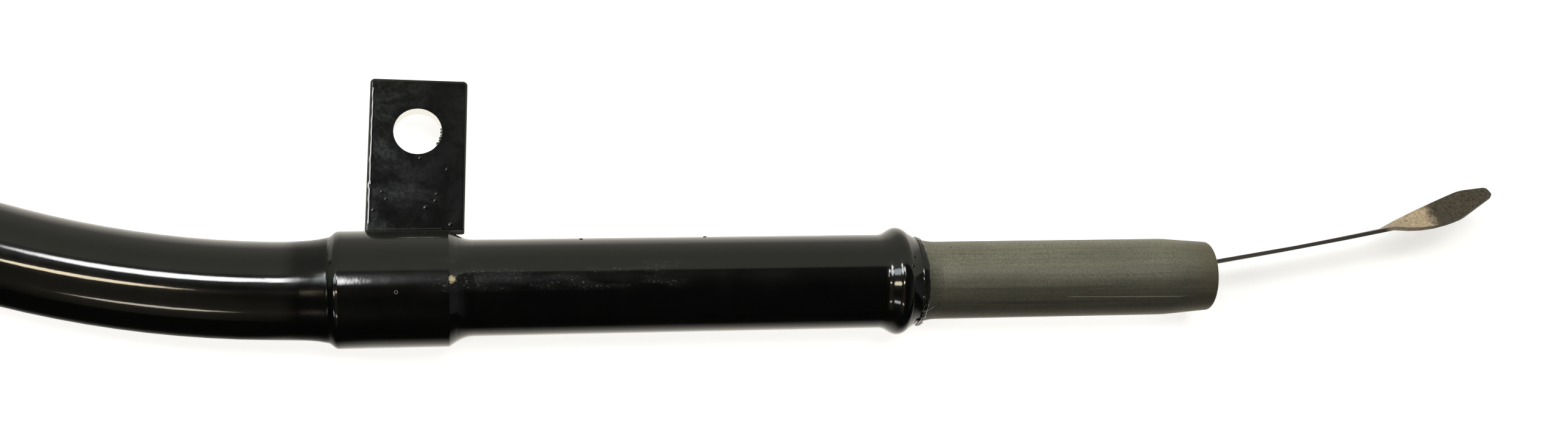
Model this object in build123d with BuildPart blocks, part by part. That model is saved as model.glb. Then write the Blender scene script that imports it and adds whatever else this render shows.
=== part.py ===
from build123d import *
import math
import os

os.makedirs("parts", exist_ok=True)

# Oil dipstick tube, lying on its side. All sizes are in millimetres and degrees.
# X runs along the straight lower tube towards the nose, Y towards the bracket tab, Z up.
# X is 0 where the nose's parallel run begins, and Y and Z are 0 on the tube's axis.

# Driving dimensions: tube stock and the brazed joint
tube_od = 19.05
tube_wall = 1.9
braze_gap = 0.05
insert_gap = 0.3

# Driving dimensions: nose, the bare end that enters the engine block
nose_od = 15.875
nose_length = 59.1
nose_root_radius = 10.6
nose_lead_length = 10.0
nose_lead_drop = 0.8
nose_lead_radius = 30.0
nose_tip_round = 0.7

# Driving dimensions: stop bead
bead_height = 1.4
bead_crest_radius = 2.4
bead_root_radius = 3.0
bead_rise_angle = 30.5
bead_flank_angle = 38.5

# Driving dimensions: expanded socket at the other end of the lower tube
shank_length = 94.6
socket_length = 21.4
socket_root_angle = 32.0
socket_root_radius = 6.0
socket_edge_radius = 0.4
lip_angle = 40.0
lip_radius = 1.6
braze_length = 5.6
braze_toe_angle = 2.0
braze_top_angle = 12.5
braze_hollow_radius = 25.0
braze_edge_radius = 1.0
braze_toe_thickness = 0.05

# Driving dimensions: bent upper tube
bend_lead = 0.25
bend_radius = 193.0
bend_angle = 32.0
mouth_run = 55.0
mouth_chamfer = 0.4

# Driving dimensions: bracket tab
tab_width = 19.3
tab_thickness = 3.175
tab_reach = 43.2
tab_from_root = 6.87
tab_skew = 2.0
tab_corner_radius = 0.9
tab_edge_radius = 0.6
tab_hole_diameter = 9.525
tab_hole_edge = 11.1
tab_braze_radius = 0.6
tab_braze_inset = 1.2

# Driving dimensions: seal ring round the root of the nose
seal_start = 0.8
seal_end = 0.7
seal_crown = 0.14
seal_lip = 0.12
seal_bevel = 0.4
seal_gap = 0.02

# Driving dimensions: dipstick blade
blade_width = 6.35
blade_thickness = 0.8
blade_exit_offset = 2.6
blade_exit_slope = 8.3
blade_exit_lean = 9.7
blade_bow_radius = 760.0
blade_free_radius = 1110.0
blade_free_reach = 42.6
blade_free_lean = 12.2
bow_sections = 5
twist_radius = 86.0
twist_length = 16.0
twist_easing = 1.6
twist_end_lean = 65.0
twist_sections = 8
tip_length = 10.7
tip_end_width = 2.4
tip_long_taper = 9.7
tip_short_taper = 5.9
tip_end_radius = 1.0
tip_side_radius = 9.0
loop_length = 30.0
loop_width = 24.0
loop_shoulder = 10.0
loop_corner_radius = 8.0
loop_neck = 4.0

# Driving dimensions: dipstick cap and its seal
cap_wall = 1.0
cap_skirt = 9.0
cap_clearance = 0.25
cap_edge_radius = 1.8
cap_slot_clearance = 0.15
cap_seal_thickness = 2.0
cap_seal_hole = 11.0


def sin(degrees):
    return math.sin(math.radians(degrees))


def cos(degrees):
    return math.cos(math.radians(degrees))


def tan(degrees):
    return math.tan(math.radians(degrees))


# Radii shared by the pieces
tube_radius = tube_od / 2
bore_radius = tube_radius - tube_wall
nose_radius = nose_od / 2
nose_bore_radius = nose_radius - tube_wall
socket_bore_radius = tube_radius + braze_gap
socket_radius = socket_bore_radius + tube_wall
braze_toe_radius = socket_bore_radius + braze_toe_thickness
nose_tip_radius = nose_radius - nose_lead_drop

# Stop bead: the crest is rounded off a peak where the rise and the flank would meet
bead_radius = tube_radius + bead_height
crest_shift = (
    bead_crest_radius * (1 / cos(bead_rise_angle) - 1 / cos(bead_flank_angle))
    / (tan(bead_rise_angle) + tan(bead_flank_angle))
)
peak_radius = (
    bead_radius + bead_crest_radius * (1 / cos(bead_flank_angle) - 1)
    + crest_shift * tan(bead_flank_angle)
)
foot_x = -nose_root_radius * tan(bead_flank_angle / 2)
peak_x = foot_x - (peak_radius - nose_radius) / tan(bead_flank_angle)
rise_x = peak_x - (peak_radius - tube_radius) / tan(bead_rise_angle)

# Socket: a cone at its root, and at its mouth a rounded lip with a long hollow run of braze
root_x = foot_x - shank_length
root_end_x = root_x + (socket_radius - tube_radius) / tan(socket_root_angle)
lip_x = root_x - socket_length
braze_middle_radius = braze_toe_radius + braze_length / 2 * tan(braze_toe_angle)
braze_top_radius = braze_middle_radius + braze_length / 2 * tan(braze_top_angle)
braze_x = lip_x - (socket_radius - braze_top_radius) / tan(lip_angle)
braze_middle_x = braze_x - braze_length / 2
mouth_of_socket_x = braze_x - braze_length
seat_x = root_x - tube_wall * tan(socket_root_angle / 2)
seat_end_x = seat_x + (socket_bore_radius - bore_radius) / tan(socket_root_angle)

# Lower tube: socket, straight shank, stop bead and nose, formed from one length of tube
lead_x = nose_length - nose_lead_length
inner_foot_x = foot_x - tube_wall * tan(bead_flank_angle / 2)
inner_step_x = inner_foot_x - (bore_radius - nose_bore_radius) / tan(bead_flank_angle)

with BuildPart() as lower_tube:
    with BuildSketch(Plane.XY):
        with BuildLine():
            FilletPolyline(
                (mouth_of_socket_x, braze_toe_radius),
                (braze_middle_x, braze_middle_radius),
                (braze_x, braze_top_radius),
                (lip_x, socket_radius),
                (root_x, socket_radius),
                (root_end_x, tube_radius),
                (rise_x, tube_radius),
                (peak_x, peak_radius),
                (foot_x, nose_radius),
                (lead_x, nose_radius),
                (nose_length, nose_tip_radius),
                (nose_length, nose_bore_radius),
                radius=[
                    braze_hollow_radius,
                    braze_edge_radius,
                    lip_radius,
                    socket_edge_radius,
                    socket_root_radius,
                    bead_root_radius,
                    bead_crest_radius,
                    nose_root_radius,
                    nose_lead_radius,
                    nose_tip_round,
                ],
            )
            Polyline(
                (nose_length, nose_bore_radius),
                (inner_foot_x, nose_bore_radius),
                (inner_step_x, bore_radius),
                (seat_end_x, bore_radius),
                (seat_x, socket_bore_radius),
                (mouth_of_socket_x, socket_bore_radius),
                (mouth_of_socket_x, braze_toe_radius),
            )
        make_face()
    revolve(axis=Axis.X)

# Upper tube: pushed into the socket, then bent sideways towards the tab's side
upper_end_x = seat_x - insert_gap
bend_x = mouth_of_socket_x - bend_lead

with BuildPart() as upper_tube:
    with BuildLine() as upper_path:
        run_in = Line((upper_end_x, 0), (bend_x, 0))
        bend = JernArc(run_in @ 1, run_in % 1, bend_radius, -bend_angle)
        run_out = Line(bend @ 1, bend @ 1 + mouth_run * (bend % 1))
    with BuildSketch(Plane(origin=run_in @ 0, z_dir=run_in % 0)):
        Circle(tube_radius)
        Circle(bore_radius, mode=Mode.SUBTRACT)
    sweep()
    mouth_face = upper_tube.faces().sort_by(Axis.Y)[-1]
    chamfer(mouth_face.edges(), length=mouth_chamfer)

mouth = run_out @ 1
outward = run_out % 1
mouth_axis = Axis(mouth, outward)
mouth_profile = Plane(origin=mouth, x_dir=outward, z_dir=(0, 0, 1))

# Bracket tab: flat bar, coped to the socket and brazed along both faces
tab_x = root_x - tab_from_root
tab_plane = Plane(origin=(tab_x, 0, 0), x_dir=(cos(tab_skew), -sin(tab_skew), 0), z_dir=(0, 0, 1))
tab_base = socket_radius / 2
cope_radius = socket_radius + braze_gap
tab_half = tab_thickness / 2
braze_center_z = tab_half + tab_braze_radius
braze_center_y = math.sqrt((cope_radius + tab_braze_radius) ** 2 - braze_center_z**2)
braze_touch = Vector(braze_center_y, braze_center_z) * (cope_radius / (cope_radius + tab_braze_radius))
cope_corner = (math.sqrt(cope_radius**2 - tab_half**2), tab_half)
braze_start_x = tab_x - tab_width / 2 + tab_braze_inset

with BuildPart() as bracket_tab:
    with BuildSketch(tab_plane):
        with Locations((0, (tab_base + tab_reach) / 2)):
            bar = Rectangle(tab_width, tab_reach - tab_base)
        fillet(bar.vertices().group_by(Axis.Y)[-1], radius=tab_corner_radius)
    extrude(amount=tab_half, both=True)
    for face in bracket_tab.faces().filter_by(Axis.Z):
        fillet(face.edges().sort_by(Axis.Y)[1:], radius=tab_edge_radius)
    with BuildSketch(tab_plane):
        with Locations((0, tab_reach - tab_hole_edge)):
            Circle(tab_hole_diameter / 2)
    extrude(amount=tab_thickness, both=True, mode=Mode.SUBTRACT)
    with BuildSketch(Plane.YZ.offset(tab_x)):
        Circle(cope_radius)
    extrude(amount=tab_width, both=True, mode=Mode.SUBTRACT)
    with BuildSketch(Plane.YZ.offset(braze_start_x)) as tab_braze:
        with BuildLine():
            Line(cope_corner, (braze_center_y, tab_half))
            RadiusArc((braze_center_y, tab_half), braze_touch, tab_braze_radius)
            RadiusArc(braze_touch, cope_corner, cope_radius)
        make_face()
        mirror(about=Plane.XZ)
    extrude(amount=root_x - tab_braze_inset - braze_start_x)

# Seal ring: a thin band that follows the hollow between bead and nose, with a raised back
seal_left = foot_x - seal_start
seal_right = foot_x + seal_end
seal_seat_radius = nose_root_radius - seal_gap
seal_lip_radius = seal_seat_radius - seal_lip
seal_crown_radius = seal_lip_radius - seal_crown


def in_root(x, radius):
    """Point at x on a circle of this radius about the centre of the nose's root fillet."""
    return Vector(x, nose_radius + nose_root_radius - math.sqrt(radius**2 - x**2))


with BuildPart() as seal_ring:
    with BuildSketch(Plane.XY):
        with BuildLine():
            Polyline(
                in_root(seal_left, seal_seat_radius),
                in_root(seal_left, seal_lip_radius),
                in_root(seal_left + seal_bevel, seal_crown_radius),
                in_root(seal_right - seal_bevel, seal_crown_radius),
                in_root(seal_right, seal_lip_radius),
                in_root(seal_right, seal_seat_radius),
                close=True,
            )
        make_face()
    revolve(axis=Axis.X)

# Dipstick cap: a pressed cup over the tube's mouth, slotted for the blade
cap_inner_radius = tube_radius + cap_clearance
cap_radius = cap_inner_radius + cap_wall
cap_top = cap_seal_thickness + cap_wall

with BuildPart() as dipstick_cap:
    with BuildSketch(mouth_profile):
        with BuildLine():
            FilletPolyline(
                (-cap_skirt, cap_radius),
                (cap_top, cap_radius),
                (cap_top, 0),
                radius=[cap_edge_radius],
            )
            Polyline(
                (cap_top, 0),
                (cap_seal_thickness, 0),
                (cap_seal_thickness, cap_inner_radius),
                (-cap_skirt, cap_inner_radius),
                (-cap_skirt, cap_radius),
            )
        make_face()
    revolve(axis=mouth_axis)
    with BuildSketch(Plane(origin=mouth, x_dir=(0, 0, 1), z_dir=outward)):
        Rectangle(blade_width + 2 * cap_slot_clearance, blade_thickness + 2 * cap_slot_clearance)
    extrude(amount=2 * cap_top, mode=Mode.SUBTRACT)

# Cap seal: a rubber washer between the tube's mouth and the cap
with BuildPart() as cap_seal:
    with BuildSketch(Plane(origin=mouth, z_dir=outward)):
        Circle(cap_inner_radius)
        Circle(cap_seal_hole / 2, mode=Mode.SUBTRACT)
    extrude(amount=cap_seal_thickness)

# Dipstick blade: spring strip on edge, folded into a finger loop above the cap. It follows the bend,
# bows out of the nose, and its end is twisted almost flat.
bow_x = nose_length - blade_bow_radius * sin(blade_exit_slope)
bow_y = blade_exit_offset - blade_bow_radius * (1 - cos(blade_exit_slope))
free_end_slope = math.degrees(math.asin(sin(blade_exit_slope) + blade_free_reach / blade_free_radius))
twist_angle = math.degrees(twist_length / twist_radius)
neck = mouth + (cap_top + loop_neck) * outward
corner_x = mouth.X + (bow_y - mouth.Y) * outward.X / outward.Y


def blade_plane(point, tangent, lean):
    """Plane across the blade, whose upper edge leans away from the tab's side."""
    side = Vector(-tangent.Y, tangent.X)
    return Plane(origin=point, x_dir=cos(lean) * side + Vector(0, 0, sin(lean)), z_dir=tangent)


with BuildPart() as dipstick_blade:
    with BuildSketch(Plane(origin=neck, x_dir=outward, z_dir=(0, 0, 1))):
        with BuildLine():
            FilletPolyline(
                (-blade_thickness, 0),
                (loop_shoulder, loop_width / 2),
                (loop_length, loop_width / 2),
                (loop_length, -loop_width / 2),
                (loop_shoulder, -loop_width / 2),
                close=True,
                radius=[0] + 4 * [loop_corner_radius],
            )
        make_face()
        offset(amount=-blade_thickness, mode=Mode.SUBTRACT)
    extrude(amount=blade_width / 2, both=True)

    with BuildLine():
        shank = FilletPolyline(neck, (corner_x, bow_y), (bow_x, bow_y), radius=bend_radius)
    with BuildSketch(blade_plane(shank @ 0, shank % 0, 0)):
        Rectangle(blade_thickness, blade_width)
    sweep()

    bow = JernArc((bow_x, bow_y), (1, 0), blade_bow_radius, blade_exit_slope, mode=Mode.PRIVATE)
    free = JernArc(
        bow @ 1, bow % 1, blade_free_radius, free_end_slope - blade_exit_slope, mode=Mode.PRIVATE
    )
    twist = JernArc(free @ 1, free % 1, twist_radius, twist_angle, mode=Mode.PRIVATE)
    for path, sections, first_lean, last_lean, easing in (
        (bow, bow_sections, 0, blade_exit_lean, 1),
        (free, bow_sections, blade_exit_lean, blade_free_lean, 1),
        (twist, twist_sections, blade_free_lean, twist_end_lean, twist_easing),
    ):
        for k in range(sections):
            share = k / (sections - 1)
            lean = last_lean - (last_lean - first_lean) * (1 - share) ** easing
            with BuildSketch(blade_plane(path @ share, path % share, lean)):
                Rectangle(blade_thickness, blade_width)
        loft()

    flat_side = blade_plane(twist @ 1, twist % 1, twist_end_lean).x_dir
    with BuildSketch(Plane(origin=twist @ 1, x_dir=twist % 1, z_dir=flat_side)):
        with BuildLine():
            FilletPolyline(
                (0, blade_width / 2),
                (tip_length - tip_short_taper, blade_width / 2),
                (tip_length, tip_end_width / 2),
                (tip_length, -tip_end_width / 2),
                (tip_length - tip_long_taper, -blade_width / 2),
                (0, -blade_width / 2),
                radius=[tip_side_radius, tip_end_radius, tip_end_radius, tip_side_radius],
            )
            Line((0, -blade_width / 2), (0, blade_width / 2))
        make_face()
    extrude(amount=blade_thickness / 2, both=True)

for node, piece in {
    "lower_tube": lower_tube,
    "upper_tube": upper_tube,
    "bracket_tab": bracket_tab,
    "seal_ring": seal_ring,
    "dipstick_cap": dipstick_cap,
    "cap_seal": cap_seal,
    "dipstick_blade": dipstick_blade,
}.items():
    piece.part.label = node
    export_step(piece.part, f"parts/{node}.step")
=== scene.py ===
import math
import random
import bpy
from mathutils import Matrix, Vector


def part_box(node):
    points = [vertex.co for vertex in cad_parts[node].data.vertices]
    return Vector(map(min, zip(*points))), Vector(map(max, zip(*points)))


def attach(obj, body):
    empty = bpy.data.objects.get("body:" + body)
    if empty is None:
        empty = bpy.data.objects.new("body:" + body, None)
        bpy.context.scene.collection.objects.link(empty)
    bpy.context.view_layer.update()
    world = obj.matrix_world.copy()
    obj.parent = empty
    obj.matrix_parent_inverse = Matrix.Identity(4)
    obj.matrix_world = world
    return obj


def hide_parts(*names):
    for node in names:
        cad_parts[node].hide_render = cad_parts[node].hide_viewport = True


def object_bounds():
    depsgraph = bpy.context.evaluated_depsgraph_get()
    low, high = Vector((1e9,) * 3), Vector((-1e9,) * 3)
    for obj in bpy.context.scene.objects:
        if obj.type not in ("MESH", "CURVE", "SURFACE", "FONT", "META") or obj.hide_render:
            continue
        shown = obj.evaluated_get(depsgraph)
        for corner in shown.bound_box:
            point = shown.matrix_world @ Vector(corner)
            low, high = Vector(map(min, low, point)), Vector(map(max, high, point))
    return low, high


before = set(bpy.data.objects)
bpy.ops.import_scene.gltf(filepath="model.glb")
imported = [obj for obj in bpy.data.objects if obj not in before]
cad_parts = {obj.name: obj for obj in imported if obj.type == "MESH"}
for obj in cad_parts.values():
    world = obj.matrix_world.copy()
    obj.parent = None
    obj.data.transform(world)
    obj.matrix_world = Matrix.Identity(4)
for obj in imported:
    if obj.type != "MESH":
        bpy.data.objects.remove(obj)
cad_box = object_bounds()

# Lengths are in metres and angles in degrees, unless a heading says otherwise. Angles round the tube's axis
# start at +Y and turn towards +Z.
MM = 0.001

# Places taken from the frame
FLOOR_Z = cad_box[0].z
TUBE_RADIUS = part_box("upper_tube")[1].z
TOE_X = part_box("lower_tube")[0].x
NOSE_END_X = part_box("lower_tube")[1].x
SEAL_LEFT_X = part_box("seal_ring")[0].x
SEAL_RIGHT_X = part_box("seal_ring")[1].x
BLADE_END_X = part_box("dipstick_blade")[1].x

# Camera: fitted to the tube's outlines and the tab's hole
CAMERA_PLACE = (-0.100378, -0.097245, 0.371757)
CAMERA_TURN = (17.127, -9.6, -3.528)
CAMERA_LENS = 44.225
CAMERA_SENSOR = 36.0
CAMERA_CLIP = (0.01, 100.0)

# Room: the level that the paint mirrors at each angle, from behind the tube up over its top to the near side
WALL_TOP = 67.0
WALL_LEVELS = (
    (0.0, 0.54),
    (33.0, 0.52),
    (60.0, 0.58),
    (WALL_TOP - 1.0, 0.57),
    (WALL_TOP + 3.0, 0.07),
    (90.0, 0.035),
    (115.0, 0.012),
)
WALL_TINT = (1.0, 1.0, 0.84)
WHITE = (1.0, 1.0, 1.0)
HALF_TURN = 180.0

# Lamps, each an oval of sky: angle round the X axis, half width, angle towards X, half width, soft edge,
# strength, colour
LAMPS = {
    "window": (80.3, 5.2, -8.4, 4.8, 0.3, 24.0, WHITE),
    "window_corner": (88.0, 5.5, -3.1, 0.7, 0.7, 24.0, WHITE),
    "window_haze": (87.0, 9.0, -2.2, 1.1, 0.7, 0.5, WHITE),
    "side_pane": (81.0, 8.5, -27.0, 8.0, 0.35, 14.0, (0.95, 1.0, 1.0)),
    "side_pane_low": (69.0, 4.5, -28.0, 5.0, 0.4, 18.0, WHITE),
    "side_wall": (80.0, 8.0, -46.0, 10.0, 0.4, 7.0, (0.9, 0.97, 1.0)),
    "warm_bulb": (108.7, 3.2, -17.2, 6.0, 0.3, 20.0, (1.0, 0.86, 0.62)),
    "warm_side": (112.0, 5.0, -47.0, 11.0, 0.3, 15.0, (1.0, 0.9, 0.66)),
    "far_lamp": (157.0, 2.4, -17.0, 6.5, 0.35, 10.0, (1.0, 0.9, 0.76)),
    "far_side": (163.0, 4.5, -47.0, 8.0, 0.4, 9.0, WHITE),
    "brown_wall": (150.0, 36.0, -18.0, 14.0, 0.4, 0.14, (1.0, 0.93, 0.66)),
    "right_wall": (165.0, 65.0, 80.0, 35.0, 0.8, 0.16, WHITE),
}

# Key light overhead
KEY_PLACE = (0.15, 0.08, 1.3)
KEY_SIZE = 0.4
KEY_WATTS = 7.0

# Floor, white for the camera. Each stretch has a start, an end and the values at both: the glow by distance
# from the leaf, and for reflections the level beyond the tube, the level before it and a shift at the bend.
FLOOR_SIZE = 30.0
FLOOR_GREY = (0.45, 0.45, 0.45)
FLOOR_TINT = (1.0, 0.96, 0.86)
LEAF_PLACE = (BLADE_END_X - 27 * MM, 12 * MM, FLOOR_Z)
FLOOR_GLOW = (26 * MM, 60 * MM, 0.5, 0.8)
FLOOR_BEYOND = (20 * MM, 110 * MM, 1.0, 0.52)
FLOOR_BEFORE = (7 * MM, 32 * MM, 1.0, 0.01)
FLOOR_SHIFT = (-140 * MM, -112 * MM, 14 * MM, 0.0)
BEND_START_X = -126.9 * MM
BEND_RADIUS = 193 * MM

# Textures: cells per metre, for x, y and z where they are stretched, then octaves and roughness
TEXTURES = {
    "paint_blotch": (160, 4, 0.5),
    "paint_speck": ((1500, 2200, 2200), 3, 0.7),
    "paint_peel": (500, 3, 0.5),
    "paint_end": (1500, 3, 0.5),
    "scuff_patch": ((90, 350, 350), 4, 0.5),
    "chip_edge": (1900, 4, 0.75),
    "nose_line": ((25, 1500, 1500), 5, 0.65),
    "nose_cloud": ((60, 140, 140), 3, 0.5),
    "nose_speck": ((900, 1800, 1800), 2, 0.5),
    "nose_break": ((420, 60, 60), 2, 0.5),
    "nose_grain": (3800, 3, 0.7),
    "tab_cloud": (130, 5, 0.65),
    "tab_grain": (1500, 4, 0.7),
    "tab_wave": (260, 3, 0.5),
    "steel_grain": (1900, 4, 0.7),
    "steel_pit": (900, 3, 0.6),
    "oil_edge": (650, 4, 0.65),
    "rubber_grain": ((4000, 500, 500), 3, 0.5),
    "torn_grain": (2500, 3, 0.5),
}
TEXTURE_SPAN = (0.3, 0.7)

# Paint: colours, roughness and haze between two ends of a blotch, and its bump as strength and depth
PAINT_BLACK = ((0.0008, 0.0009, 0.001), (0.0016, 0.0017, 0.0017))
BLOTCH_SPAN = (0.3, 0.75)
PAINT_ROUGHNESS = (0.2, 0.3)
PAINT_HAZE = (0.035, 0.065)
PAINT_SHINE = 0.08
PEEL_BUMP = (0.03, 0.2 * MM)

# Where the paint ends on the nose, and where the braze dulls it
PAINT_END_X = 0.5 * (SEAL_LEFT_X + SEAL_RIGHT_X)
PAINT_END_EDGE = 0.15 * MM
PAINT_END_RAGGED = 0.6 * MM
BRAZE_X = (TOE_X + 0.5 * MM, TOE_X + 4.6 * MM)
BRAZE_EDGE = 4 * MM
BRAZE_ANGLE = (90.0, 98.0)
BRAZE_DULLING = (0.6, 1.0)
BRAZE_HAZE = 0.1

# Scuffs, dust and the chip: their places, and the stretch of a texture in which they begin to show
SCUFF_X = (-98 * MM, -58 * MM)
SCUFF_X_EDGE = 8 * MM
SCUFF_ANGLE = (80.0, 102.0)
SCUFF_ANGLE_EDGE = 9.0
SCUFF_PATCHES = (0.45, 0.62)
SCUFF_MARKS = (0.56, 0.74)
SCUFF_HAZE = 0.06
SCUFF_STRENGTH = 0.65
DUST_MARKS = (0.72, 0.8)
DUST_STRENGTH = 0.15
DUST_COLOUR = (0.12, 0.122, 0.125)
CHIP_PLACE = (-97.7 * MM, -1.1 * MM, 10.9 * MM)
CHIP_SIZE = 1.6 * MM
CHIP_EDGE = 0.4 * MM
CHIP_RAGGED = 2.4 * MM
CHIP_COLOUR = (0.44, 0.38, 0.23)

# Nose: strokes along it as start x, start angle, end x, end angle, half width in degrees
NOSE_SCRATCH = (28.2 * MM, 133.3, 50.0 * MM, 136.5, 0.5)
NOSE_SMEAR = (2.0 * MM, 140.0, 26.0 * MM, 143.8, 2.6)
NOSE_DOTS = (-2.0 * MM, 62.4, 30.0 * MM, 66.6, 0.8)
STROKE_CORE = 0.4
STROKE_FADE = 3 * MM
NOSE_BROWN_LENGTH = 9 * MM
# Angles round the nose over which it grows darker: painted shade from the upper far side towards the near
# side
NOSE_SHADE_ANGLES = (35.0, 125.0)
NOSE_STEEL = ((0.29, 0.287, 0.226), (0.39, 0.385, 0.31))
NOSE_METALLIC = 0.86
NOSE_ROUGHNESS = (0.46, 0.56)
NOSE_SHINE = 0.2
NOSE_BUMP = (0.1, 0.05 * MM)

# Stretch of each texture on the nose in which it shows
NOSE_SPANS = {
    "lines": (0.25, 0.75),
    "grain": (0.32, 0.68),
    "cloud": (0.4, 0.7),
    "smear": (0.4, 0.6),
    "dots": (0.42, 0.56),
    "specks": (0.7, 0.76),
}

# Stains on the nose, and painted shade on its near side, from the first laid on to the last: strength and
# colour
NOSE_STAINS = {
    "grain": (0.7, (0.11, 0.108, 0.082)),
    "cloud": (0.35, (0.16, 0.157, 0.12)),
    "near_side_shade": (0.6, (0.075, 0.074, 0.058)),
    # Painted shade on the near side of the nose
    "brown": (0.55, (0.15, 0.125, 0.085)),
    "smear": (0.75, (0.06, 0.06, 0.05)),
    "dots": (0.5, (0.06, 0.06, 0.05)),
    "specks": (0.6, (0.07, 0.07, 0.06)),
    "scratch": (0.7, (0.75, 0.75, 0.66)),
}

# Tab: its face, its hole, the foot that has no gloss, and clouds that fade from left to right
TAB_FACE_Z = 1.5875 * MM
TAB_SKEW = 2.0
HOLE_CENTRE = (-104.05 * MM, 32.08 * MM)
HOLE_RADIUS = 4.7625 * MM
HOLE_EDGE = 0.05 * MM
HOLE_STEEL = (0.9, 0.9, 0.88)
TAB_FOOT = (11.6 * MM, 11.9 * MM)
TAB_BLACK = ((0.0008, 0.001, 0.001), (0.03, 0.034, 0.034))
TAB_CLOUD_SPAN = (0.35, 0.75)
TAB_CLOUD_SWIRL = 0.6
TAB_GRAIN_LEVELS = (0.15, 1.2)
TAB_TONE_X = (-113 * MM, -98 * MM)
TAB_TONE_LEVELS = (1.0, 0.15)
TAB_ROUGHNESS = (0.4, 0.2)
TAB_SHINE = 0.02
TAB_HAZE = (0.05, 0.12)
TAB_BUMP = (0.05, 0.2 * MM)

# Blade: bare strip, a pale leaf with an oil-dark end, and narrow sides that turn with the twist, painted
# darker as painted shade
LEAF_START_X = (99 * MM, 102 * MM)
LEAF_DARK_X = 112.0 * MM
LEAF_DARK_EDGE = 1.6 * MM
LEAF_DARK_RAGGED = 4 * MM
TWIST_X = (101.7 * MM, 117.2 * MM)
TWIST_LEAN = (12.2, 65.0)
TWIST_EASING = 1.6
SIDE_FACING = (0.6, 0.85)
SIDE_SHADE_STRENGTH = 0.8
SIDE_SHADE_COLOUR = (0.09, 0.081, 0.066)
STRIP_STEEL = ((0.4, 0.385, 0.35), (0.55, 0.53, 0.49))
LEAF_PALE = ((0.235, 0.178, 0.113), (0.48, 0.38, 0.255))
LEAF_DARK = ((0.021, 0.0175, 0.0125), (0.072, 0.06, 0.043))
PIT_MARKS = (0.6, 0.68)
PIT_STRENGTH = 0.7
PIT_COLOUR = (0.06, 0.045, 0.03)
BLADE_METALLIC = (1.0, 0.2)
BLADE_ROUGHNESS = (0.42, 0.55)
BLADE_SHINE = (0.45, 0.44, 0.42)
BLADE_BUMP = (0.2, 0.08 * MM)

# Rubber, with the gloss of each seal, and torn paint, whose grey also stands as painted highlight on the
# ring mark
RUBBER_BLACK = ((0.001, 0.001, 0.001), (0.004, 0.004, 0.004))
RUBBER_ROUGHNESS = (0.3, 0.5)
RUBBER_SHINE = 0.1
RUBBER_HAZE = 0.06
RUBBER_BUMP = (0.2, 0.05 * MM)
SEAL_GLOSS = 0.8
CAP_SEAL_GLOSS = 0.1
TORN_AND_HIGHLIGHT_GREY = ((0.05, 0.05, 0.045), (0.16, 0.16, 0.15))
TORN_ROUGHNESS = 0.4

# Seal ring: the hollow it lies in, its ribs in millimetres from left to right, and how ragged its edges are
NOSE_RADIUS = 7.9375 * MM
NOSE_ROOT_RADIUS = 10.6 * MM
SEAL_RIBS = (0.02, 0.16, 0.27, 0.19, 0.29, 0.19, 0.27, 0.14, 0.02)
SEAL_SEGMENTS = 220
SEAL_RAG_LEFT = 0.07 * MM
SEAL_RAG_RIGHT = 0.13 * MM
SEAL_RAG_RIBS = 0.08
SEAL_SEEDS = {"left": 1.7, "right": 0.6, "ribs": 2.3}
RAG_WAVES = ((3, 0.3), (7, 0.25), (13, 0.2), (29, 0.25), (47, 0.2))

# Paint nibs in millimetres: x, y on the tab's face, and x, angle, radius on the tubes
TAB_NIBS = (
    (-103.64, 26.52),
    (-98.41, 24.06),
    (-111.12, 19.59),
    (-110.3, 18.07),
    (-100.49, 19.0),
    (-100.74, 17.61),
    (-102.64, 16.24),
    (-112.77, 15.84),
    (-97.82, 12.67),
)
TUBE_NIBS = ((-72.4, 27.0, 9.525), (-47.6, 22.0, 9.525), (-6.33, 76.0, 9.95), (-6.96, 88.0, 10.5))
NIB_RADIUS = 0.4 * MM
NIB_HEIGHT = 0.18 * MM
NIB_GROWTH = (0.8, 1.25)
NIB_SEED = 4
BLOB_RINGS = 5
BLOB_SIDES = 14

# Drips in the tab's hole: angle round the hole, size in millimetres
HOLE_DRIPS = ((6.0, 0.3), (-2.0, 0.36), (-10.0, 0.3), (-17.0, 0.4), (-24.0, 0.3), (-33.0, 0.42))
DRIP_DEPTH = 0.3 * MM
DRIP_SPREAD = 0.9

# Thick paint along the tab's left edge: its section in millimetres from that edge and the face, where it
# runs and breaks, and waves in its thickness as height, waves per metre in radians, start
TAB_RIDGE = (
    (0.17, -0.3),
    (0.2, -0.08),
    (0.45, 0.0),
    (0.7, 0.075),
    (0.85, 0.09),
    (1.05, 0.04),
    (1.2, -0.05),
    (1.15, -0.2),
)
TAB_RIDGE_Y = (13.0 * MM, 41.4 * MM)
TAB_RIDGE_ROWS = 90
TAB_RIDGE_BREAK = 21.0 * MM
TAB_RIDGE_BREAK_EDGE = 0.5 * MM
TAB_RIDGE_WAVES = ((0.1, 900, 0), (0.08, 2300, 1))

# Ring mark on the socket, in millimetres as x, angle, radius; its pale grey colour is painted highlight on
# its rim
RING_MARK = (-108.2, 107.6, 11.475)
RING_MARK_RADIUS = 0.3 * MM
RING_MARK_WIRE = 0.06 * MM
RING_MARK_STEPS = 24
RING_MARK_SIDES = 6

# Peeled paint thread beside the seal, in millimetres as x, angle, radius
THREAD = (
    (-4.5, 147.0, 9.15),
    (-3.9, 148.6, 9.1),
    (-3.2, 148.2, 8.85),
    (-2.5, 146.4, 8.6),
    (-1.8, 144.6, 8.3),
)
THREAD_RADIUS = 0.05 * MM
THREAD_SIDES = 8

# Peeled flap beside the seal, in millimetres, and its cells across and along
FLAP_X = (-4.9, -3.1)
FLAP_ANGLE = (166.0, 181.0)
FLAP_RADIUS = (9.35, 8.8)
FLAP_LIFT = 0.25
FLAP_THICKNESS = 0.09
FLAP_TAPER = 0.35
FLAP_SLANT = 0.2
FLAP_CELLS = (6, 10)

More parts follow.
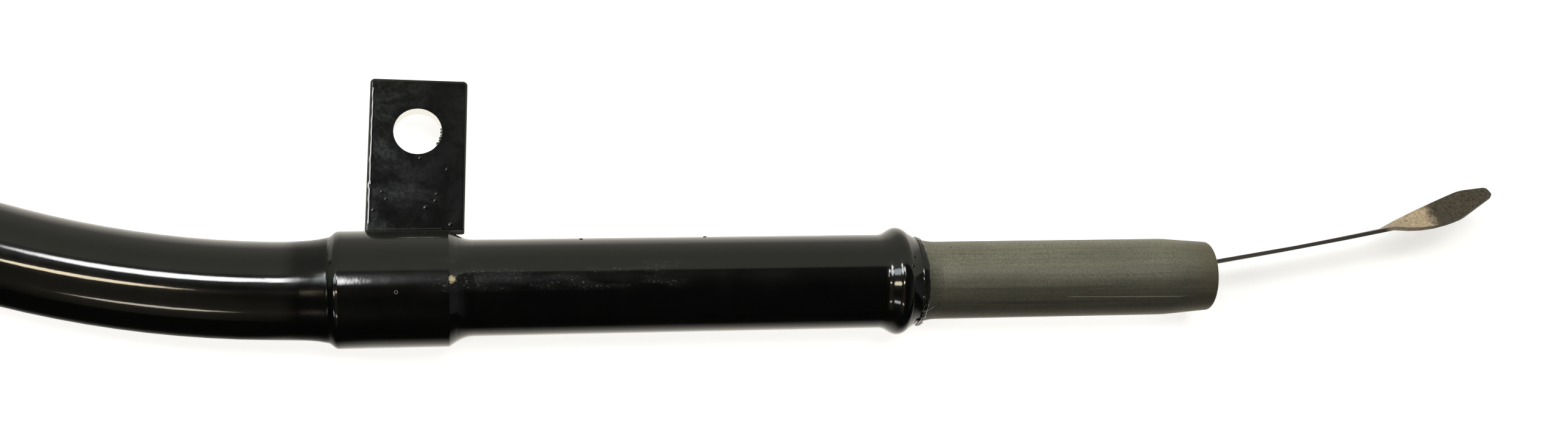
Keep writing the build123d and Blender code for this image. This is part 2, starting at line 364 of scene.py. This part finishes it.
# Paint film that rounds off the step at the braze's toe, in millimetres from the toe and above the tube
TOE_FILM = ((-7.0, -0.01), (-5.0, 0.012), (-3.0, 0.04), (-1.0, 0.078), (0.3, 0.11), (0.9, 0.125))
TOE_FILM_SINK = 0.06
TOE_FILM_SEGMENTS = 160

# Added meshes are shaded smooth across edges that turn less than this
SHARP_ANGLE = 50.0


class Graph:
    """Short calls for building one node tree."""

    def __init__(self, tree):
        self.tree = tree
        tree.nodes.clear()

    def node(self, kind, inputs=None, **settings):
        made = self.tree.nodes.new("ShaderNode" + kind)
        for name, value in settings.items():
            setattr(made, name, value)
        for name, value in (inputs or {}).items():
            self.put(made.inputs[name], value)
        return made

    def put(self, socket, value):
        """Links a socket to another, or sets its value; colours are given without alpha."""
        if isinstance(value, bpy.types.NodeSocket):
            self.tree.links.new(value, socket)
        elif socket.type == "RGBA":
            socket.default_value = (*value, 1.0)
        else:
            socket.default_value = value

    def math(self, operation, *values, clamp=False):
        made = self.node("Math", operation=operation, use_clamp=clamp)
        for socket, value in zip(made.inputs, values):
            self.put(socket, value)
        return made.outputs[0]

    def product(self, *values):
        total = values[0]
        for value in values[1:]:
            total = self.math("MULTIPLY", total, value)
        return total

    def remap(self, value, low, high, to_low=0.0, to_high=1.0):
        inputs = {"Value": value, "From Min": low, "From Max": high, "To Min": to_low, "To Max": to_high}
        return self.node("MapRange", inputs, interpolation_type="SMOOTHSTEP", clamp=True).outputs[0]

    def window(self, value, low, high, edge):
        """One between low and high, falling to nothing over an edge outside them."""
        rise = self.remap(value, low - edge, low)
        fall = self.remap(value, high, high + edge, 1.0, 0.0)
        return self.math("MULTIPLY", rise, fall)

    def texture(self, vector, name, swirl=0.0):
        """Noise with the cells, octaves and roughness of a named texture."""
        scale, octaves, rough = TEXTURES[name]
        if isinstance(scale, tuple):
            vector = self.node("Mapping", {"Vector": vector, "Scale": scale}).outputs[0]
            scale = 1.0
        inputs = {"Vector": vector, "Scale": scale, "Detail": octaves, "Roughness": rough}
        return self.node("TexNoise", {**inputs, "Distortion": swirl}).outputs["Fac"]

    def mix(self, share, first, second):
        made = self.node("Mix", data_type="RGBA")
        for index, value in ((0, share), (6, first), (7, second)):
            self.put(made.inputs[index], value)
        return made.outputs[2]

    def stain(self, colour, mask, strength, other):
        """Colour with another laid over it where a mask shows."""
        return self.mix(self.math("MULTIPLY", mask, strength), colour, other)

    def bump(self, height, strength, depth):
        return self.node("Bump", {"Strength": strength, "Distance": depth, "Height": height}).outputs[0]

    def local(self):
        """Object coordinates."""
        return self.node("TexCoord").outputs["Object"]

    def axes(self, vector):
        return self.node("SeparateXYZ", {"Vector": vector}).outputs

    def around(self, vector):
        """A vector's x, and its angle round the X axis."""
        x, y, z = self.axes(vector)
        return x, self.math("DEGREES", self.math("ARCTAN2", z, y))

    def scaled(self, vector, scale):
        return self.node("VectorMath", {0: vector, 1: scale}, operation="MULTIPLY").outputs[0]

    def distance(self, vector, place):
        return self.node("VectorMath", {0: vector, 1: place}, operation="DISTANCE").outputs["Value"]

    def stroke(self, x, angle, line):
        """Mask of a thin stroke along a tube."""
        start_x, start_angle, end_x, end_angle, half_width = line
        slope = (end_angle - start_angle) / (end_x - start_x)
        middle = self.math("MULTIPLY_ADD", self.math("SUBTRACT", x, start_x), slope, start_angle)
        off = self.math("ABSOLUTE", self.math("SUBTRACT", angle, middle))
        across = self.remap(off, STROKE_CORE * half_width, half_width, 1.0, 0.0)
        return self.math("MULTIPLY", across, self.window(x, start_x, end_x, STROKE_FADE))

    def surface(self, **inputs):
        body = self.node("BsdfPrincipled")
        for name, value in inputs.items():
            self.put(body.inputs[name.replace("_", " ")], value)
        return body.outputs[0]

    def blend(self, share, first, second):
        return self.node("MixShader", {0: share, 1: first, 2: second}).outputs[0]

    def add(self, first, second):
        return self.node("AddShader", {0: first, 1: second}).outputs[0]

    def end(self, shader):
        self.node("OutputMaterial", {"Surface": shader})


def new_material(name):
    made = bpy.data.materials.new(name)
    made.use_nodes = True
    return made, Graph(made.node_tree)


# Materials
def paint_shader(graph, vector, x, angle):
    """Gloss black paint with orange peel, a little dust, scuffs on the shank, one chip and a dull braze."""
    blotch = graph.texture(vector, "paint_blotch")
    speck = graph.texture(vector, "paint_speck")
    region = graph.product(
        graph.window(x, *SCUFF_X, SCUFF_X_EDGE),
        graph.window(angle, *SCUFF_ANGLE, SCUFF_ANGLE_EDGE),
        graph.remap(graph.texture(vector, "scuff_patch"), *SCUFF_PATCHES),
    )
    marks = graph.math("MULTIPLY", region, graph.remap(speck, *SCUFF_MARKS))
    scuff = graph.math("MULTIPLY_ADD", region, SCUFF_HAZE, marks)
    dust = graph.math("MULTIPLY", graph.remap(speck, *DUST_MARKS), DUST_STRENGTH)
    dust = graph.math("MULTIPLY_ADD", scuff, SCUFF_STRENGTH, dust)
    to_chip = graph.distance(vector, CHIP_PLACE)
    ragged = graph.math("MULTIPLY_ADD", graph.texture(vector, "chip_edge"), CHIP_RAGGED, to_chip)
    chip = graph.remap(ragged, CHIP_SIZE, CHIP_SIZE + CHIP_EDGE, 1.0, 0.0)
    colour = graph.mix(blotch, *PAINT_BLACK)
    colour = graph.mix(dust, colour, DUST_COLOUR)
    colour = graph.mix(chip, colour, CHIP_COLOUR)
    braze = graph.window(x, *BRAZE_X, BRAZE_EDGE)
    dull = graph.math("MULTIPLY", braze, graph.remap(angle, *BRAZE_ANGLE, *BRAZE_DULLING))
    coat = graph.math("SUBTRACT", graph.math("SUBTRACT", 1.0, dull), chip, clamp=True)
    haze = graph.remap(blotch, *BLOTCH_SPAN, *PAINT_HAZE)
    peel = graph.bump(graph.texture(vector, "paint_peel"), *PEEL_BUMP)
    return graph.surface(
        Base_Color=colour,
        Roughness=graph.remap(blotch, *BLOTCH_SPAN, *PAINT_ROUGHNESS),
        Specular_IOR_Level=PAINT_SHINE,
        Coat_Weight=coat,
        Coat_Roughness=graph.math("MULTIPLY_ADD", braze, BRAZE_HAZE, haze),
        Normal=peel,
        Coat_Normal=peel,
    )


def nose_shader(graph, vector, x, angle):
    """Bare drawn steel with fine lengthwise lines, dark strokes, a scratch, a browned end and painted shade
    on its near side.
    """
    lines = graph.texture(vector, "nose_line")
    grain = graph.texture(vector, "nose_grain")
    worn = graph.remap(lines, *NOSE_SPANS["smear"])
    breaks = graph.remap(graph.texture(vector, "nose_break"), *NOSE_SPANS["dots"])
    masks = {
        "grain": graph.remap(grain, *NOSE_SPANS["grain"]),
        "cloud": graph.remap(graph.texture(vector, "nose_cloud"), *NOSE_SPANS["cloud"]),
        # Painted shade: darker from the upper far side towards the near side
        "near_side_shade": graph.remap(angle, *NOSE_SHADE_ANGLES),
        "brown": graph.remap(x, NOSE_END_X - NOSE_BROWN_LENGTH, NOSE_END_X),
        "smear": graph.math("MULTIPLY", graph.stroke(x, angle, NOSE_SMEAR), worn),
        "dots": graph.math("MULTIPLY", graph.stroke(x, angle, NOSE_DOTS), breaks),
        "specks": graph.remap(graph.texture(vector, "nose_speck"), *NOSE_SPANS["specks"]),
        "scratch": graph.stroke(x, angle, NOSE_SCRATCH),
    }
    colour = graph.mix(graph.remap(lines, *NOSE_SPANS["lines"]), *NOSE_STEEL)
    for name, stain in NOSE_STAINS.items():
        colour = graph.stain(colour, masks[name], *stain)
    return graph.surface(
        Base_Color=colour,
        Metallic=NOSE_METALLIC,
        Roughness=graph.remap(lines, *TEXTURE_SPAN, *NOSE_ROUGHNESS),
        Specular_IOR_Level=NOSE_SHINE,
        Normal=graph.bump(grain, *NOSE_BUMP),
    )


def black_paint(name):
    made, graph = new_material(name)
    vector = graph.local()
    graph.end(paint_shader(graph, vector, *graph.around(vector)))
    return made


def painted_with_bare_nose(name):
    """Paint up to the seal, and bare steel past it with a ragged edge."""
    made, graph = new_material(name)
    vector = graph.local()
    x, angle = graph.around(vector)
    ragged = graph.math("MULTIPLY_ADD", graph.texture(vector, "paint_end"), PAINT_END_RAGGED, x)
    middle = PAINT_END_X + 0.5 * PAINT_END_RAGGED
    bare = graph.remap(ragged, middle - PAINT_END_EDGE, middle + PAINT_END_EDGE)
    painted = paint_shader(graph, vector, x, angle)
    graph.end(graph.blend(bare, painted, nose_shader(graph, vector, x, angle)))
    return made


def tab_paint(name):
    """The same paint on flat bar, with greyish clouds in its colour that fade from left to right, and bare
    steel in the hole.
    """
    made, graph = new_material(name)
    vector = graph.local()
    x = graph.axes(vector)["X"]
    cloud = graph.texture(vector, "tab_cloud", TAB_CLOUD_SWIRL)
    grain = graph.texture(vector, "tab_grain")
    tone = graph.product(
        graph.remap(cloud, *TAB_CLOUD_SPAN),
        graph.remap(grain, *TEXTURE_SPAN, *TAB_GRAIN_LEVELS),
        graph.remap(x, *TAB_TONE_X, *TAB_TONE_LEVELS),
    )
    to_hole = graph.distance(graph.scaled(vector, (1, 1, 0)), (*HOLE_CENTRE, 0))
    bare = graph.remap(to_hole, HOLE_RADIUS, HOLE_RADIUS + HOLE_EDGE, 1.0, 0.0)
    to_axis = graph.distance(graph.scaled(vector, (0, 1, 1)), (0, 0, 0))
    graph.end(
        graph.surface(
            Base_Color=graph.mix(bare, graph.mix(tone, *TAB_BLACK), HOLE_STEEL),
            Metallic=bare,
            Roughness=graph.remap(bare, 0.0, 1.0, *TAB_ROUGHNESS),
            Specular_IOR_Level=TAB_SHINE,
            Coat_Weight=graph.remap(to_axis, *TAB_FOOT),
            Coat_Roughness=graph.remap(cloud, *TEXTURE_SPAN, *TAB_HAZE),
            Coat_Normal=graph.bump(graph.texture(vector, "tab_wave"), *TAB_BUMP),
        )
    )
    return made


def blade_side_shade(graph, x):
    """Mask of the strip's narrow sides, which turn with its twist, where painted shade darkens them."""
    start, stop = TWIST_X
    first, last = TWIST_LEAN
    share = graph.math("DIVIDE", graph.math("SUBTRACT", x, start), stop - start, clamp=True)
    left = graph.math("POWER", graph.math("SUBTRACT", 1.0, share), TWIST_EASING)
    lean = graph.math("RADIANS", graph.math("MULTIPLY_ADD", left, first - last, last))
    normal = graph.axes(graph.node("NewGeometry").outputs["Normal"])
    upward = graph.math("MULTIPLY", normal["Z"], graph.math("COSINE", lean))
    sideways = graph.math("MULTIPLY", normal["Y"], graph.math("SINE", lean))
    facing = graph.math("ABSOLUTE", graph.math("SUBTRACT", upward, sideways))
    return graph.remap(facing, *SIDE_FACING)


def blade_steel(name):
    """Spring strip, pale and worn where the twist begins and oil-dark towards its end, with painted shade on
    its narrow sides.
    """
    made, graph = new_material(name)
    vector = graph.local()
    x = graph.axes(vector)["X"]
    grain = graph.texture(vector, "steel_grain")
    worn = graph.remap(grain, *TEXTURE_SPAN)
    pits = graph.remap(graph.texture(vector, "steel_pit"), *PIT_MARKS)
    ragged = graph.math("MULTIPLY_ADD", graph.texture(vector, "oil_edge"), LEAF_DARK_RAGGED, x)
    middle = LEAF_DARK_X + 0.5 * LEAF_DARK_RAGGED
    oiled = graph.remap(ragged, middle - LEAF_DARK_EDGE, middle + LEAF_DARK_EDGE)
    leaf = graph.remap(x, *LEAF_START_X)
    pale = graph.stain(graph.mix(worn, *LEAF_PALE), pits, PIT_STRENGTH, PIT_COLOUR)
    colour = graph.mix(leaf, graph.mix(grain, *STRIP_STEEL), pale)
    colour = graph.mix(oiled, colour, graph.mix(worn, *LEAF_DARK))
    # Painted shade: the strip's narrow sides darkened
    colour = graph.stain(colour, blade_side_shade(graph, x), SIDE_SHADE_STRENGTH, SIDE_SHADE_COLOUR)
    graph.end(
        graph.surface(
            Base_Color=colour,
            Metallic=graph.remap(leaf, 0.0, 1.0, *BLADE_METALLIC),
            Roughness=graph.remap(leaf, 0.0, 1.0, *BLADE_ROUGHNESS),
            Specular_Tint=BLADE_SHINE,
            Normal=graph.bump(grain, *BLADE_BUMP),
        )
    )
    return made


def black_rubber(name, gloss):
    """Black seal: gloss is its coat's weight."""
    made, graph = new_material(name)
    grain = graph.texture(graph.local(), "rubber_grain")
    graph.end(
        graph.surface(
            Base_Color=graph.mix(grain, *RUBBER_BLACK),
            Roughness=graph.remap(grain, *TEXTURE_SPAN, *RUBBER_ROUGHNESS),
            Specular_IOR_Level=RUBBER_SHINE,
            Coat_Weight=gloss,
            Coat_Roughness=RUBBER_HAZE,
            Normal=graph.bump(grain, *RUBBER_BUMP),
        )
    )
    return made


def torn_paint_and_highlight(name):
    """Edges of peeled paint, greyer than its face; on the ring mark the same grey is painted highlight."""
    made, graph = new_material(name)
    colour = graph.mix(graph.texture(graph.local(), "torn_grain"), *TORN_AND_HIGHLIGHT_GREY)
    graph.end(graph.surface(Base_Color=colour, Roughness=TORN_ROUGHNESS))
    return made


def dress(node, material):
    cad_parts[node].data.materials[0] = material


paint = black_paint("black_gloss_paint")
rubber = black_rubber("black_rubber_seal", SEAL_GLOSS)
torn_grey_and_ring_highlight = torn_paint_and_highlight("torn_paint_and_ring_highlight")
dress("lower_tube", painted_with_bare_nose("paint_and_bare_nose"))
dress("upper_tube", paint)
dress("dipstick_cap", paint)
dress("bracket_tab", tab_paint("clouded_black_paint"))
dress("dipstick_blade", blade_steel("worn_spring_steel"))
dress("seal_ring", rubber)
dress("cap_seal", black_rubber("plain_rubber", CAP_SEAL_GLOSS))


# Pieces added to the part
def add_piece(name, points, faces, material, slot):
    mesh = bpy.data.meshes.new(name)
    mesh.from_pydata(points, [], faces)
    mesh.shade_smooth()
    mesh.set_sharp_from_angle(angle=math.radians(SHARP_ANGLE))
    mesh.materials.append(material)
    made = bpy.data.objects.new(name, mesh)
    bpy.context.scene.collection.objects.link(made)
    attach(made, "root")
    return made


def between(ends, share):
    return ends[0] + (ends[1] - ends[0]) * share


def round_axis(x, angle, radius):
    """Point at x, turned by an angle round the tube's axis."""
    return Vector((x, radius * math.cos(math.radians(angle)), radius * math.sin(math.radians(angle))))


def along_bend(point):
    """Carries a point of the straight tube round its bend."""
    turn = max(BEND_START_X - point.x, 0.0) / BEND_RADIUS
    across = BEND_RADIUS - point.y
    straight = max(point.x, BEND_START_X)
    return Vector((straight - across * math.sin(turn), BEND_RADIUS - across * math.cos(turn), point.z))


def circle(count, side, other):
    """Directions spread evenly round a circle in the plane of two unit vectors."""
    turns = [2 * math.pi * j / count for j in range(count)]
    return [math.cos(turn) * side + math.sin(turn) * other for turn in turns]


def ring_faces(rings, sides):
    """Quads of a tube that closes on itself, as rings with that many points each."""
    faces = []
    for i in range(rings):
        a, b = i * sides, ((i + 1) % rings) * sides
        for j in range(sides):
            k = (j + 1) % sides
            faces.append((a + j, b + j, b + k, a + k))
    return faces


def rod_faces(rings, sides):
    """Quads of a rod of rings, with a face across each end."""
    faces = []
    for a in range(0, (rings - 1) * sides, sides):
        b = a + sides
        for j in range(sides):
            k = (j + 1) % sides
            faces.append((a + j, a + k, b + k, b + j))
    faces.append(tuple(range(sides - 1, -1, -1)))
    faces.append(tuple((rings - 1) * sides + j for j in range(sides)))
    return faces


def revolve(profile, segments):
    """Points and faces of a closed ring round the X axis; profile(angle) lists its (x, radius) points."""
    points = []
    for i in range(segments):
        angle = 360 * i / segments
        section = profile(angle)
        points += [round_axis(x, angle, radius) for x, radius in section]
    return points, ring_faces(segments, len(section))


def wobble(angle, seed):
    """Uneven value between about -1 and 1 that closes on itself round the axis."""
    turn = math.radians(angle)
    return sum(size * math.sin(count * turn + seed * count) for count, size in RAG_WAVES)


def seal_section(angle):
    left = SEAL_LEFT_X + SEAL_RAG_LEFT * wobble(angle, SEAL_SEEDS["left"])
    right = SEAL_RIGHT_X + SEAL_RAG_RIGHT * wobble(angle, SEAL_SEEDS["right"])
    top, under = [], []
    for k, rib in enumerate(SEAL_RIBS):
        x = between((left, right), k / (len(SEAL_RIBS) - 1))
        hollow = NOSE_RADIUS + NOSE_ROOT_RADIUS - math.sqrt(NOSE_ROOT_RADIUS**2 - x**2)
        height = rib * MM * (1 + SEAL_RAG_RIBS * wobble(angle, SEAL_SEEDS["ribs"] + k))
        top.append((x, hollow + height))
        under.append((x, hollow))
    return top + under[-2:0:-1]


def make_seal():
    points, faces = revolve(seal_section, SEAL_SEGMENTS)
    seal = add_piece("ragged_seal_ring", points, faces, rubber, "black_rubber")
    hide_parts("seal_ring")


def make_toe_film():
    section = [(TOE_X + x * MM, TUBE_RADIUS + height * MM) for x, height in TOE_FILM]
    section.append((section[-1][0], TUBE_RADIUS + TOE_FILM_SINK * MM))
    section.append((section[0][0], TUBE_RADIUS - TOE_FILM_SINK * MM))
    points, faces = revolve(lambda angle: section, TOE_FILM_SEGMENTS)
    add_piece("toe_paint_film", [along_bend(point) for point in points], faces, paint, "black_paint")


def blob(centre, normal, radius, height):
    """Points and faces of a flattened ball that stands half out of a surface."""
    normal = normal.normalized()
    side = normal.orthogonal().normalized()
    ways = circle(BLOB_SIDES, side, normal.cross(side))
    points = [centre + height * normal]
    for i in range(1, BLOB_RINGS):
        tilt = math.pi * i / BLOB_RINGS
        middle = centre + height * math.cos(tilt) * normal
        points += [middle + radius * math.sin(tilt) * way for way in ways]
    points.append(centre - height * normal)
    bottom = len(points) - 1
    last = bottom - BLOB_SIDES
    faces = []
    for j in range(BLOB_SIDES):
        k = (j + 1) % BLOB_SIDES
        faces.append((0, 1 + j, 1 + k))
        for a in range(1, last, BLOB_SIDES):
            b = a + BLOB_SIDES
            faces.append((a + j, b + j, b + k, a + k))
        faces.append((last + j, bottom, last + k))
    return points, faces


def join(shapes):
    points, faces = [], []
    for more, around in shapes:
        faces += [tuple(len(points) + k for k in face) for face in around]
        points += more
    return points, faces


def make_tab_nibs():
    """Nibs on the tab's face and drips in its hole."""
    dice = random.Random(NIB_SEED)
    shapes = []
    for x, y in TAB_NIBS:
        grow = dice.uniform(*NIB_GROWTH)
        centre = Vector((x * MM, y * MM, TAB_FACE_Z))
        shapes.append(blob(centre, Vector((0, 0, 1)), grow * NIB_RADIUS, grow * NIB_HEIGHT))
    for angle, size in HOLE_DRIPS:
        inward = -Vector((math.cos(math.radians(angle)), math.sin(math.radians(angle)), 0))
        centre = Vector((*HOLE_CENTRE, TAB_FACE_Z - DRIP_DEPTH)) - HOLE_RADIUS * inward
        shapes.append(blob(centre, inward, DRIP_SPREAD * size * MM, size * MM))
    add_piece("tab_paint_nibs", *join(shapes), paint, "black_paint")


def make_tube_nibs():
    shapes = []
    for x, angle, radius in TUBE_NIBS:
        centre = round_axis(x * MM, angle, radius * MM)
        shapes.append(blob(centre, round_axis(0, angle, 1), NIB_RADIUS, NIB_HEIGHT))
    add_piece("tube_paint_nibs", *join(shapes), paint, "black_paint")


def make_tab_ridge():
    """Thick paint along the tab's left edge, broken at one place."""
    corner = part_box("bracket_tab")[0]
    points = []
    for i in range(TAB_RIDGE_ROWS + 1):
        y = between(TAB_RIDGE_Y, i / TAB_RIDGE_ROWS)
        left = corner.x + (y - corner.y) * math.tan(math.radians(TAB_SKEW))
        thick = 1 + sum(size * math.sin(rate * y + start) for size, rate, start in TAB_RIDGE_WAVES)
        thick *= min(1.0, abs(y - TAB_RIDGE_BREAK) / TAB_RIDGE_BREAK_EDGE)
        for across, height in TAB_RIDGE:
            up = height * thick if height > 0 else height
            points.append(Vector((left + across * MM, y, TAB_FACE_Z + up * MM)))
    faces = rod_faces(TAB_RIDGE_ROWS + 1, len(TAB_RIDGE))
    add_piece("tab_paint_ridge", points, faces, paint, "black_paint")


def make_ring_mark():
    x, angle, radius = RING_MARK
    centre = round_axis(x * MM, angle, radius * MM)
    up = round_axis(0, angle, 1)
    points = []
    for i in range(RING_MARK_STEPS):
        turn = 2 * math.pi * i / RING_MARK_STEPS
        aside = math.degrees(RING_MARK_RADIUS * math.sin(turn) / (radius * MM))
        point = round_axis(x * MM + RING_MARK_RADIUS * math.cos(turn), angle + aside, radius * MM)
        out = (point - centre).normalized()
        points += [point + RING_MARK_WIRE * way for way in circle(RING_MARK_SIDES, out, up)]
    faces = ring_faces(RING_MARK_STEPS, RING_MARK_SIDES)
    # The ring is real, and its pale grey colour is painted highlight on its rim
    add_piece("ring_mark", points, faces, torn_grey_and_ring_highlight, "black_paint")


def make_thread():
    path = [round_axis(x * MM, angle, radius * MM) for x, angle, radius in THREAD]
    points = []
    for i, point in enumerate(path):
        ahead = path[min(i + 1, len(path) - 1)] - path[max(i - 1, 0)]
        side = ahead.orthogonal().normalized()
        other = ahead.cross(side).normalized()
        points += [point + THREAD_RADIUS * way for way in circle(THREAD_SIDES, side, other)]
    add_piece("peeled_thread", points, rod_faces(len(path), THREAD_SIDES), torn_grey_and_ring_highlight, "black_paint")


def make_flap():
    """Flap of peeled paint, as two sheets joined along their rim."""
    across, along = FLAP_CELLS
    points = []
    for above in (0.0, FLAP_THICKNESS):
        for i in range(along + 1):
            share = i / along
            angle = between(FLAP_ANGLE, share)
            for j in range(across + 1):
                part = j / across
                x = between(FLAP_X, part * between((FLAP_TAPER, 1), share) + FLAP_SLANT * (1 - share))
                lift = FLAP_LIFT * share**2 * math.sin(math.pi * part) + above
                radius = between(FLAP_RADIUS, part) + lift
                points.append(round_axis(x * MM, angle, radius * MM))
    row = across + 1
    sheet = row * (along + 1)
    faces = []
    for i in range(along):
        for j in range(across):
            a = i * row + j
            faces.append((a, a + 1, a + row + 1, a + row))
            faces.append((sheet + a, sheet + a + row, sheet + a + row + 1, sheet + a + 1))
    rim = list(range(across)) + [i * row + across for i in range(along)]
    rim += [along * row + j for j in range(across, 0, -1)] + [i * row for i in range(along, 0, -1)]
    for a, b in zip(rim, rim[1:] + rim[:1]):
        faces.append((b, a, sheet + a, sheet + b))
    add_piece("peeled_flap", points, faces, paint, "black_paint")


make_seal()
make_toe_film()
make_tab_nibs()
make_tube_nibs()
make_tab_ridge()
make_ring_mark()
make_thread()
make_flap()


# Room: a world seen in the paint, white for the camera
def lamp_glow(graph, around, aside, oval):
    """Strength of one lamp in the world, as a soft-edged oval of sky."""
    angle, half_angle, side, half_side, edge, strength = oval
    up = graph.math("DIVIDE", graph.math("SUBTRACT", around, angle), half_angle)
    across = graph.math("DIVIDE", graph.math("SUBTRACT", aside, side), half_side)
    square = graph.math("MULTIPLY_ADD", up, up, graph.math("MULTIPLY", across, across))
    return graph.remap(graph.math("SQRT", square), 1 - edge, 1 + edge, strength, 0.0)


def wall_colour(graph, around):
    """Colour of the room behind the lamps, by the angle round the tube."""
    wall = graph.node("ValToRGB", {"Fac": graph.math("DIVIDE", around, HALF_TURN)})
    stops = wall.color_ramp.elements
    while len(stops) < len(WALL_LEVELS):
        stops.new(0.5)
    for stop, (angle, level) in zip(stops, WALL_LEVELS):
        stop.position = angle / HALF_TURN
        stop.color = (*(level * tint for tint in WALL_TINT), 1.0)
    return wall.outputs[0]


def make_world():
    world = bpy.data.worlds.new("room")
    world.use_nodes = True
    bpy.context.scene.world = world
    graph = Graph(world.node_tree)
    x, around = graph.around(graph.node("TexCoord").outputs["Generated"])
    aside = graph.math("DEGREES", graph.math("ARCSINE", x))
    room = graph.node("Background", {"Color": wall_colour(graph, around), "Strength": 1.0}).outputs[0]
    for *oval, colour in LAMPS.values():
        glow = lamp_glow(graph, around, aside, oval)
        light = graph.node("Background", {"Color": colour, "Strength": glow}).outputs[0]
        room = graph.add(room, light)
    seen = graph.node("LightPath").outputs["Is Camera Ray"]
    white = graph.node("Background", {"Color": WHITE, "Strength": 1.0}).outputs[0]
    graph.node("OutputWorld", {"Surface": graph.blend(seen, room, white)})


def flat_sheet(name, corners, height):
    mesh = bpy.data.meshes.new(name)
    mesh.from_pydata([(x, y, height) for x, y in corners], [], [tuple(range(len(corners)))])
    made = bpy.data.objects.new(name, mesh)
    bpy.context.scene.collection.objects.link(made)
    return made


def mirrored_level(graph, vector):
    """What reflections see of the floor, by distance from the tube's axis and, at the bend, its parabola."""
    x, y = graph.axes(vector)[:2]
    into_bend = graph.math("MAXIMUM", graph.math("SUBTRACT", BEND_START_X, x), 0.0)
    axis = graph.product(into_bend, into_bend, 0.5 / BEND_RADIUS)
    beyond = graph.math("SUBTRACT", y, axis)
    before = graph.math("SUBTRACT", graph.remap(x, *FLOOR_SHIFT), beyond)
    return graph.math("MULTIPLY", graph.remap(beyond, *FLOOR_BEYOND), graph.remap(before, *FLOOR_BEFORE))


def make_floor():
    half = FLOOR_SIZE / 2
    floor = flat_sheet("floor", ((-half, -half), (half, -half), (half, half), (-half, half)), FLOOR_Z)
    material, graph = new_material("floor_white")
    vector = graph.local()
    path = graph.node("LightPath").outputs
    seen = graph.math("MAXIMUM", path["Is Camera Ray"], path["Is Transmission Ray"])
    level = graph.remap(graph.distance(vector, LEAF_PLACE), *FLOOR_GLOW)
    glow = graph.node("Emission", {"Strength": graph.math("MULTIPLY", seen, level)}).outputs[0]
    shown = graph.add(glow, graph.node("BsdfDiffuse", {"Color": FLOOR_GREY}).outputs[0])
    strength = mirrored_level(graph, vector)
    mirrored = graph.node("Emission", {"Color": FLOOR_TINT, "Strength": strength}).outputs[0]
    graph.end(graph.blend(path["Is Glossy Ray"], shown, mirrored))
    material.cycles.emission_sampling = "NONE"
    floor.data.materials.append(material)


def make_light(name, place, size, watts):
    """Square light overhead that the paint doesn't mirror."""
    light = bpy.data.lights.new(name, "AREA")
    light.size = size
    light.energy = watts
    made = bpy.data.objects.new(name, light)
    made.location = place
    made.rotation_euler = (-Vector(place)).to_track_quat("-Z", "Y").to_euler()
    made.visible_glossy = False
    bpy.context.scene.collection.objects.link(made)


def make_camera():
    data = bpy.data.cameras.new("camera")
    data.sensor_fit = "HORIZONTAL"
    data.sensor_width = CAMERA_SENSOR
    data.lens = CAMERA_LENS
    data.clip_start, data.clip_end = CAMERA_CLIP
    camera = bpy.data.objects.new("camera", data)
    camera.location = CAMERA_PLACE
    camera.rotation_euler = [math.radians(angle) for angle in CAMERA_TURN]
    bpy.context.scene.collection.objects.link(camera)
    bpy.context.scene.camera = camera


make_world()
make_floor()
make_light("key", KEY_PLACE, KEY_SIZE, KEY_WATTS)
make_camera()
bpy.context.scene.view_settings.view_transform = "Standard"
